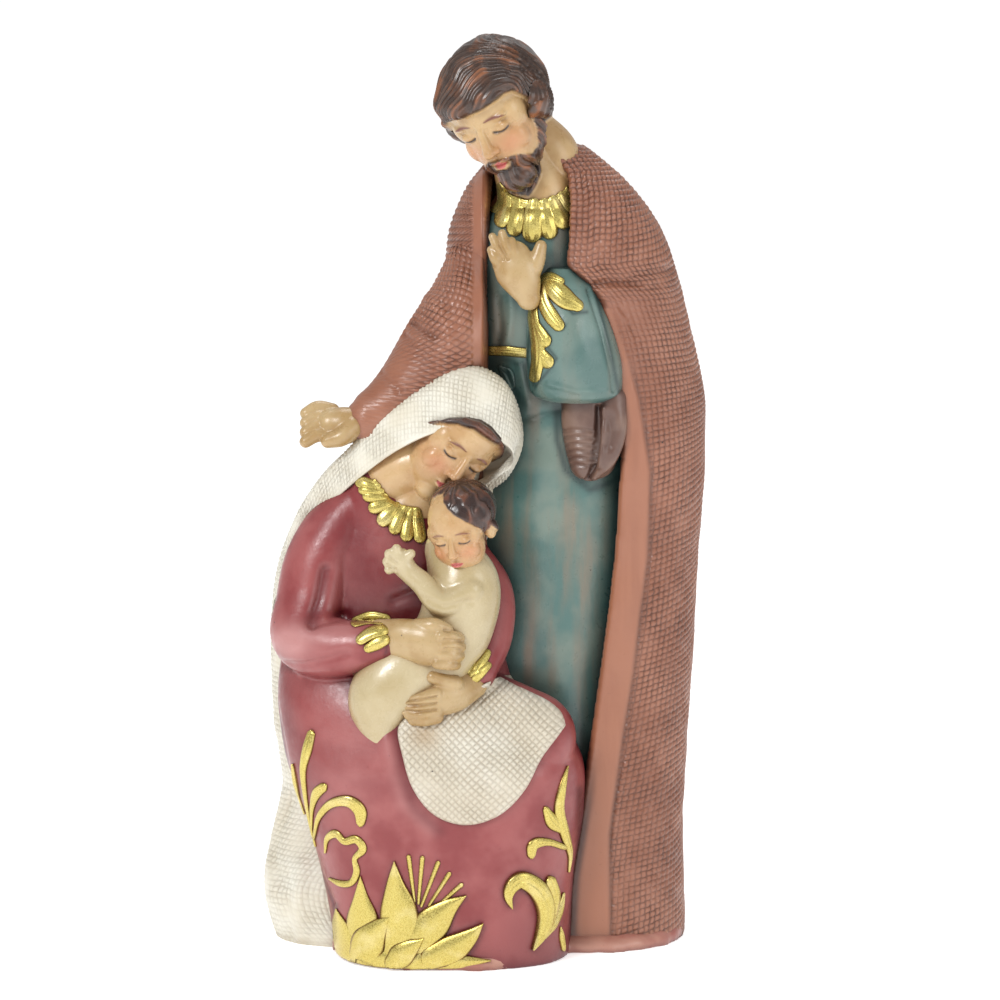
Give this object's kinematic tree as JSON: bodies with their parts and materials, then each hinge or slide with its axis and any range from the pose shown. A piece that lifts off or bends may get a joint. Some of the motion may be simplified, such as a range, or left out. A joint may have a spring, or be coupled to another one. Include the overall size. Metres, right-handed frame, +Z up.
{
  "type": "holy family statue",
  "caption": "Standing holy family figurine: a bearded cloaked man behind a seated veiled mother who holds a swaddled child, with gilded leaves on the dress.",
  "frame": {"origin": "centre of the bounding box, on the flat underside", "axes": "+Z up, +X to the viewer's right and +Y away from the viewer, when the faces look at the viewer"},
  "size_m": [0.0892, 0.0638, 0.185],
  "materials": {
    "painted_resin": "hand-painted, semi-gloss varnish, with leaf-gold details"
  },
  "bodies": {
    "root": {"holy_family_statue": "painted_resin"}
  },
  "joints": []
}
